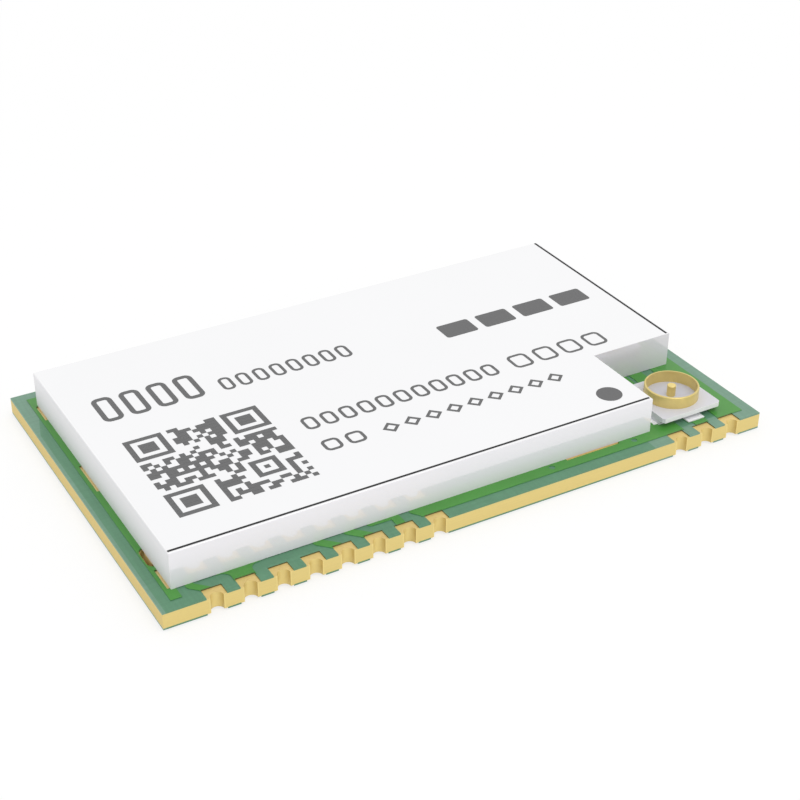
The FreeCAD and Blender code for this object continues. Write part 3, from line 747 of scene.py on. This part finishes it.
frames = []
for x0, x1, y0, y1, count, share, radius, stroke in FRAME_ROWS:
    frames += [hollow_bar(*side, radius, stroke) for side in in_a_row(x0, x1, y0, y1, count, share)]
print_piece("can_print_code", ink, code_outlines())
print_piece("can_print_frames", ink, frames=frames)
diamonds = [diamond(*side, DIAMOND_STROKE) for side in in_a_row(*DIAMOND_ROW)]
print_piece("can_print_diamonds", ink, frames=diamonds)
blocks = [round_bar(*side, BLOCK_CORNER) for side in in_a_row(*BLOCK_ROW)]
print_piece("can_print_blocks", ink, blocks)
print_piece("can_print_dot", ink, [disc(*DOT)])

# Thin ink lines just inside the front edge and the right edge of the can's top
LINE_INSET = 0.085
LINE_WIDTH = 0.10
# The lines stop this far short of the cut-out's corner and of the can's other edges
LINE_NOTCH_GAP = 0.08
LINE_END_GAP = 0.03
can_left_mm = (can_low[0] - board_left) / MM
can_back_mm = (can_high[1] - board_front) / MM
line_front_mm = (can_low[1] - board_front) / MM + LINE_INSET
line_right_mm = (can_high[0] - board_left) / MM - LINE_INSET
print_piece("can_edge_lines", line_ink, [
    rectangle(can_left_mm + LINE_END_GAP, line_front_mm,
              NOTCH_CORNER[0] - LINE_NOTCH_GAP, line_front_mm + LINE_WIDTH),
    rectangle(line_right_mm - LINE_WIDTH, NOTCH_CORNER[1] + LINE_END_GAP,
              line_right_mm, can_back_mm - LINE_END_GAP),
])

# Floor
FLOOR_HALF = 1.0
FLOOR_DROP = 0.02 * MM
FLOOR_WHITE = (0.97, 0.97, 0.97, 1)
# The floor's share of plain white where it is seen directly, near the part and far from it
WHITE_SHARE = (0.7, 1.0)
FADE_REACH = (22 * MM, 60 * MM)
corners = [(-1, -1), (1, -1), (1, 1), (-1, 1)]
floor_mesh = bpy.data.meshes.new("floor")
floor_mesh.from_pydata([(x * FLOOR_HALF, y * FLOOR_HALF, 0) for x, y in corners], [], [(0, 1, 2, 3)])
floor = bpy.data.objects.new("floor", floor_mesh)
bpy.context.scene.collection.objects.link(floor)
floor.location.z = -FLOOR_DROP


def seen_directly(tree):
    """1 for rays from the camera, from glossy surfaces and through clear ones."""
    rays = tree.nodes.new("ShaderNodeLightPath").outputs
    seen = either(tree, rays["Is Camera Ray"], rays["Is Glossy Ray"])
    return either(tree, seen, rays["Is Transmission Ray"])


def floor_material():
    """White floor that keeps a soft shadow and is as white as the backdrop where it is seen."""
    material = bpy.data.materials.new("white_floor")
    material.use_nodes = True
    tree = material.node_tree
    tree.nodes.clear()
    output = tree.nodes.new("ShaderNodeOutputMaterial")
    matt = tree.nodes.new("ShaderNodeBsdfDiffuse")
    matt.inputs["Color"].default_value = FLOOR_WHITE
    glow = tree.nodes.new("ShaderNodeEmission")
    glow.inputs["Strength"].default_value = 1.0
    mix = tree.nodes.new("ShaderNodeMixShader")
    coords = tree.nodes.new("ShaderNodeTexCoord")
    away = tree.nodes.new("ShaderNodeVectorMath")
    away.operation = "LENGTH"
    tree.links.new(coords.outputs["Object"], away.inputs[0])
    share = ramp(tree, away.outputs["Value"], *FADE_REACH, *WHITE_SHARE)
    tree.links.new(math_node(tree, "MULTIPLY", seen_directly(tree), share), mix.inputs["Fac"])
    tree.links.new(matt.outputs[0], mix.inputs[1])
    tree.links.new(glow.outputs[0], mix.inputs[2])
    tree.links.new(mix.outputs[0], output.inputs["Surface"])
    return material


floor_mesh.materials.append(floor_material())

# Light: an even white surround and one broad soft lamp above the front edge
SURROUND_STRENGTH = 0.87
BACKDROP_STRENGTH = 1.0
LAMP_PLACE = (0.03, -0.12, 0.30)
LAMP_SIZE = 0.25
LAMP_POWER = 0.24

world = bpy.data.worlds.new("white_studio")
bpy.context.scene.world = world
world.use_nodes = True
sky = world.node_tree
sky.nodes.clear()
world_output = sky.nodes.new("ShaderNodeOutputWorld")
world_mix = sky.nodes.new("ShaderNodeMixShader")
sky.links.new(seen_directly(sky), world_mix.inputs["Fac"])
for socket, strength in ((1, SURROUND_STRENGTH), (2, BACKDROP_STRENGTH)):
    background = sky.nodes.new("ShaderNodeBackground")
    background.inputs["Color"].default_value = WHOLE
    background.inputs["Strength"].default_value = strength
    sky.links.new(background.outputs[0], world_mix.inputs[socket])
sky.links.new(world_mix.outputs[0], world_output.inputs["Surface"])

lamp_data = bpy.data.lights.new("soft_lamp_above", "AREA")
lamp_data.shape = "DISK"
lamp_data.size = LAMP_SIZE
lamp_data.energy = LAMP_POWER
lamp = bpy.data.objects.new("soft_lamp_above", lamp_data)
bpy.context.scene.collection.objects.link(lamp)
lamp.location = LAMP_PLACE
lamp.rotation_euler = Vector(LAMP_PLACE).to_track_quat("Z", "Y").to_euler()

# Camera: as far round, up and away as the photograph's, aimed at a point on the floor
AIM_MM = (1.423, 1.074, 0.0)
AZIMUTH = 29.947
ELEVATION = 31.397
ROLL = 0.232
DISTANCE_MM = 67.266
LENS = 72.380
SENSOR = 36.0
CLIP_START = 0.001
CLIP_END = 10.0

camera_data = bpy.data.cameras.new("camera")
camera_data.sensor_width = SENSOR
camera_data.sensor_fit = "HORIZONTAL"
camera_data.lens = LENS
camera_data.clip_start = CLIP_START
camera_data.clip_end = CLIP_END
camera = bpy.data.objects.new("camera", camera_data)
bpy.context.scene.collection.objects.link(camera)
turn = Euler((math.radians(90 - ELEVATION), 0, math.radians(-AZIMUTH)), "XYZ").to_matrix()
turn = turn @ Matrix.Rotation(math.radians(ROLL), 3, "Z")
backwards = turn @ Vector((0, 0, 1))
eye = Vector(AIM_MM) * MM + backwards * DISTANCE_MM * MM
camera.matrix_world = Matrix.Translation(eye) @ turn.to_4x4()
bpy.context.scene.camera = camera
bpy.context.scene.view_settings.view_transform = "Standard"
